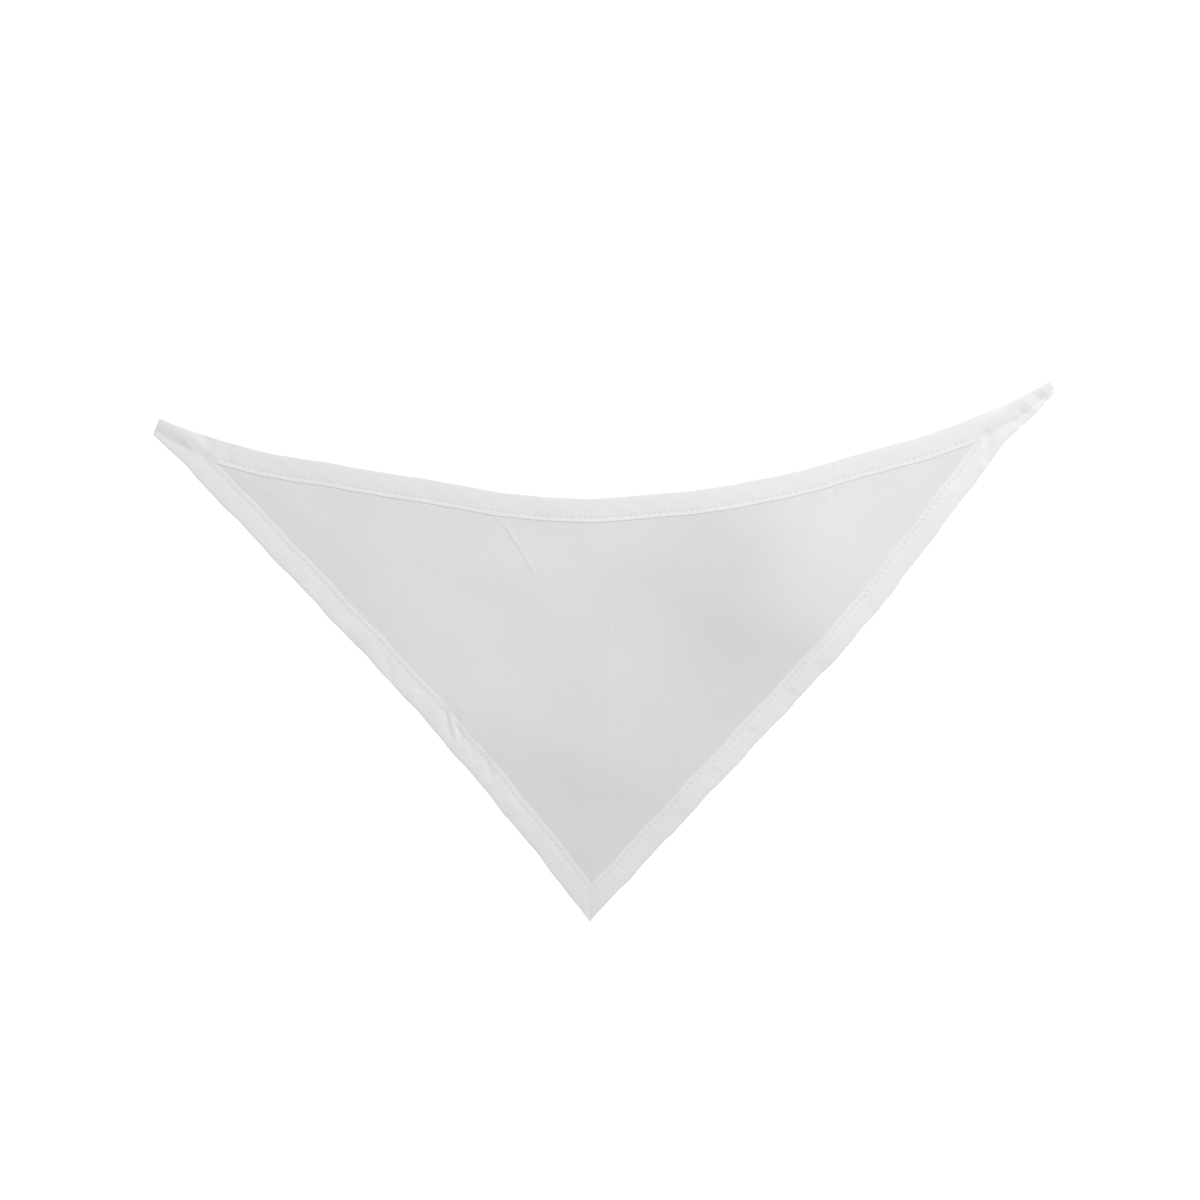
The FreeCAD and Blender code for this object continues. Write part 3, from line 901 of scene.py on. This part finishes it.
def cotton(name, dark, light, bump_strength, painted_light_and_shade):
    """Plain weave: each warp yarn goes over one weft yarn and under the next, with slubs. The tone also
    has broad clouds, fine mottling, and soft patches of painted shade and painted light laid over it."""
    shader = Shader(name)
    place = shader.weave_map()
    split = shader.nodes.new("ShaderNodeSeparateXYZ")
    shader.links.new(place, split.inputs[0])
    turn = math.pi / YARN_PITCH
    warp = shader.math("SINE", shader.math("MULTIPLY", split.outputs["X"], turn))
    weft = shader.math("SINE", shader.math("MULTIPLY", split.outputs["Y"], turn))
    over = shader.math("MULTIPLY", warp, weft)
    warp_rise = shader.math("MULTIPLY_ADD", over, 0.4, 0.6)
    weft_rise = shader.math("MULTIPLY_ADD", over, -0.4, 0.6)
    warp_height = shader.math("MULTIPLY", shader.math("ABSOLUTE", weft), warp_rise)
    weft_height = shader.math("MULTIPLY", shader.math("ABSOLUTE", warp), weft_rise)
    yarns = shader.math("MAXIMUM", warp_height, weft_height)
    warp_slubs = shader.noise(shader.scaled(place, (SLUBS_ALONG, SLUBS_ACROSS, 1)), 1.0, 2.0)
    weft_slubs = shader.noise(shader.scaled(place, (SLUBS_ACROSS, SLUBS_ALONG, 1)), 1.0, 2.0)
    slubs = shader.math("MAXIMUM", warp_slubs, weft_slubs)
    clouds = shader.noise(place, CLOUDS, 3.0)
    mottling = shader.noise(place, MOTTLING, 2.0)
    height = shader.math("MULTIPLY_ADD", slubs, 0.9, yarns)
    tone = shader.math("MULTIPLY_ADD", slubs, 0.7, shader.math("MULTIPLY", yarns, 0.22))
    tone = shader.math("MULTIPLY_ADD", clouds, 0.55, shader.math("SUBTRACT", tone, 0.41))
    tone = shader.math("MULTIPLY_ADD", mottling, 0.26, tone)
    # Each patch paints shade (a negative tone) or light (a positive one) into the colour round its
    # place.
    for centre, reach, shade in painted_light_and_shade:
        away = shader.distance(place, (*weave_place(np.array(centre)), 0))
        squared = shader.math("POWER", away, 2.0)
        fade = shader.math("EXPONENT", shader.math("MULTIPLY", squared, -1 / reach**2))
        tone = shader.math("MULTIPLY_ADD", fade, shade, tone)
    shader.colour(tone, dark, light)
    roughness = shader.math("MULTIPLY_ADD", yarns, -0.12, 0.97)
    shader.connect(roughness, shader.surface.inputs["Roughness"])
    shader.surface.inputs["Sheen Weight"].default_value = 0.12
    shader.surface.inputs["Sheen Roughness"].default_value = 0.45
    shader.surface.inputs["Specular IOR Level"].default_value = 0.25
    shader.bump(height, bump_strength, BUMP_DEPTH)
    return shader.material


def spun_thread(name):
    """Two plies twisted together, in stripes that run round the thread."""
    shader = Shader(name)
    place = shader.weave_map()
    split = shader.nodes.new("ShaderNodeSeparateXYZ")
    shader.links.new(place, split.inputs[0])
    run = shader.math("MULTIPLY", split.outputs["X"], 2 * math.pi / PLY_LENGTH)
    turned = shader.math("MULTIPLY_ADD", split.outputs["Y"], math.pi / (3 * THREAD_RADIUS), run)
    plies = shader.math("MULTIPLY_ADD", shader.math("SINE", turned), 0.5, 0.5)
    fibres = shader.noise(place, FIBRES, 2.0)
    tone = shader.math("MULTIPLY_ADD", fibres, 0.5, shader.math("MULTIPLY", plies, 0.5))
    shader.colour(tone, 0.62, 0.74)
    roughness = shader.math("MULTIPLY_ADD", fibres, 0.25, 0.45)
    shader.connect(roughness, shader.surface.inputs["Roughness"])
    shader.surface.inputs["Sheen Weight"].default_value = 0.2
    shader.bump(plies, 0.4, THREAD_BUMP_DEPTH)
    return shader.material


def plain_floor(name):
    shader = Shader(name)
    grain = shader.noise(shader.weave_map(), FLOOR_GRAIN, 2.0)
    shader.colour(grain, 0.94, 0.97)
    shader.surface.inputs["Roughness"].default_value = 0.9
    shader.surface.inputs["Emission Color"].default_value = (1, 1, 1, 1)
    shader.surface.inputs["Emission Strength"].default_value = 0.4
    return shader.material


# The panel's cotton carries the patches of painted shade and painted light.
panel_cotton = cotton("panel_cotton", 0.595, 0.685, 0.45, PAINTED_LIGHT_AND_SHADE_PATCHES)
hem_cotton = cotton("hem_cotton", 0.655, 0.745, 0.45, [])
thread_cotton = spun_thread("thread_cotton")


# ---------------------------------------------------------------- the pieces


def hem_nodes(bodies, edge, bands):
    return [f"{body}_{edge.name}_{band}" for body in bodies for band in bands]


def crossing(edge, fold):
    """How far along an edge a fold line crosses it."""
    beyond = fold.beyond(edge.points)
    index = int(np.flatnonzero(np.diff(np.sign(beyond)))[0])
    return edge.along[index]


def whole_stitch(along):
    return round(along / STITCH) * STITCH


def middle_between(edge, fold, other_fold):
    """How far along an edge its middle between two folds is, at the end of a stitch."""
    return whole_stitch((crossing(edge, fold) + crossing(edge, other_fold)) / 2)


# How far each hem stays from the other edges. The long edge's hem lies over the legs' hems. At
# the point the left leg's hem stops just short of the mitre and the right leg's laps over it.
LONG_MARGIN = 0.35 * MM
LEG_MARGIN = 0.9 * MM
MITRE_GAP = 0.03 * MM
MITRE_LAP = -1.2 * MM

long_widths = np.minimum(
    free_width(long_edge, left_leg, LONG_MARGIN, 0), free_width(long_edge, right_leg, LONG_MARGIN, 0)
)
right_widths = np.minimum(
    free_width(right_leg, long_edge, LEG_MARGIN, 0), free_width(right_leg, left_leg, MITRE_LAP, 1)
)
left_widths = np.minimum(
    free_width(left_leg, long_edge, LEG_MARGIN, 0), free_width(left_leg, right_leg, MITRE_GAP, 1)
)
long_hem = Hem(long_edge, long_widths, [left_leg, right_leg], [])
right_hem = Hem(right_leg, right_widths, [], [long_edge])
left_hem = Hem(left_leg, left_widths, [], [long_edge])

long_middle = whole_stitch(long_edge.length / 2)
right_middle = middle_between(right_leg, folds["right_end"], folds["point"])
left_middle = middle_between(left_leg, folds["left_end"], folds["point"])

# Each stretch of hem: its name, its hem, where it starts and ends, and its flap.
STRETCHES = [
    ("long_edge_left", long_hem, 0, long_middle, "left_end"),
    ("long_edge_right", long_hem, long_middle, long_edge.length, "right_end"),
    ("right_leg_upper", right_hem, 0, right_middle, "right_end"),
    ("right_leg_lower", right_hem, right_middle, right_leg.length, "point"),
    ("left_leg_lower", left_hem, 0, left_middle, "point"),
    ("left_leg_upper", left_hem, left_middle, left_leg.length, "left_end"),
]
sewn_on = {"left_end": [], "right_end": [], "point": []}
for name, hem, start, end, flap in STRETCHES:
    turned = make_hem(name + "_hem", hem, start, end, hem.edge is not long_edge, hem_cotton)
    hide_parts(*hem_nodes(("centre", flap), hem.edge, ("hem_turn", "tucked_edge")))
    if flap != "point":
        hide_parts(flap.split("_")[0] + "_tie_end")
    folds[flap].blend(turned)
    sewn_on[flap].append(turned)
    for side, on_top in (("needle", True), ("bobbin", False)):
        thread = make_stitches(f"{name}_{side}_thread", hem, start, end, on_top, thread_cotton)
        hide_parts(*hem_nodes(("centre", flap), hem.edge, (side + "_thread",)))
        folds[flap].blend(thread)
        sewn_on[flap].append(thread)

outline = panel_outline()
centre_outline = outline
for fold in folds.values():
    centre_outline = cut_along(centre_outline, fold, -BEND_REACH, keep_beyond=False)
centre, flat, area = make_panel("cloth_centre", centre_outline, [], panel_cotton)
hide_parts("centre_panel")
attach(centre, "centre")
for body, fold in folds.items():
    flap_outline = cut_along(outline, fold, -BEND_REACH, keep_beyond=True)
    flap, flat, area = make_panel("cloth_" + body, flap_outline, [fold], panel_cotton)
    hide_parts(body + "_panel")
    fold.blend(flap)


# ---------------------------------------------------------------- floor, light and camera

FLOOR_HALF = 20.0
floor_mesh = bpy.data.meshes.new("floor")
floor_corners = [(x * FLOOR_HALF, y * FLOOR_HALF) for x, y in ((-1, -1), (1, -1), (1, 1), (-1, 1))]
floor_mesh.from_pydata([(x, y, 0) for x, y in floor_corners], [], [(0, 1, 2, 3)])
floor_uvs = floor_mesh.uv_layers.new(name="Weave")
for corner, place in zip(floor_uvs.data, floor_corners):
    corner.uv = place
floor_mesh.materials.append(plain_floor("floor_white"))
floor = bpy.data.objects.new("floor", floor_mesh)
bpy.context.scene.collection.objects.link(floor)

world = bpy.data.worlds.new("studio")
world.use_nodes = True
background = world.node_tree.nodes["Background"]
background.inputs["Color"].default_value = (1, 1, 1, 1)
background.inputs["Strength"].default_value = 0.60
bpy.context.scene.world = world


def area_light(name, place, size, power):
    """A round studio light that faces the middle of the sling."""
    lamp = bpy.data.lights.new(name, "AREA")
    lamp.shape = "DISK"
    lamp.size = size
    lamp.energy = power
    light = bpy.data.objects.new(name, lamp)
    light.location = place
    light.rotation_euler = (-Vector(place)).to_track_quat("-Z", "Y").to_euler()
    bpy.context.scene.collection.objects.link(light)


area_light("key", (0.80, 1.68, 1.45), 1.7, 50.0)

# The camera looks straight down from over CAMERA_PLACE, and its picture is FRAME_WIDTH wide.
CAMERA_LENS = 100.0
SENSOR_WIDTH = 36.0
FRAME_WIDTH = 0.984
CAMERA_PLACE = (-0.0037, 0.0418)

camera_data = bpy.data.cameras.new("camera")
camera_data.lens = CAMERA_LENS
camera_data.sensor_width = SENSOR_WIDTH
camera = bpy.data.objects.new("camera", camera_data)
camera.location = (*CAMERA_PLACE, FRAME_WIDTH * CAMERA_LENS / SENSOR_WIDTH)
bpy.context.scene.collection.objects.link(camera)
bpy.context.scene.camera = camera
bpy.context.scene.view_settings.view_transform = "Standard"
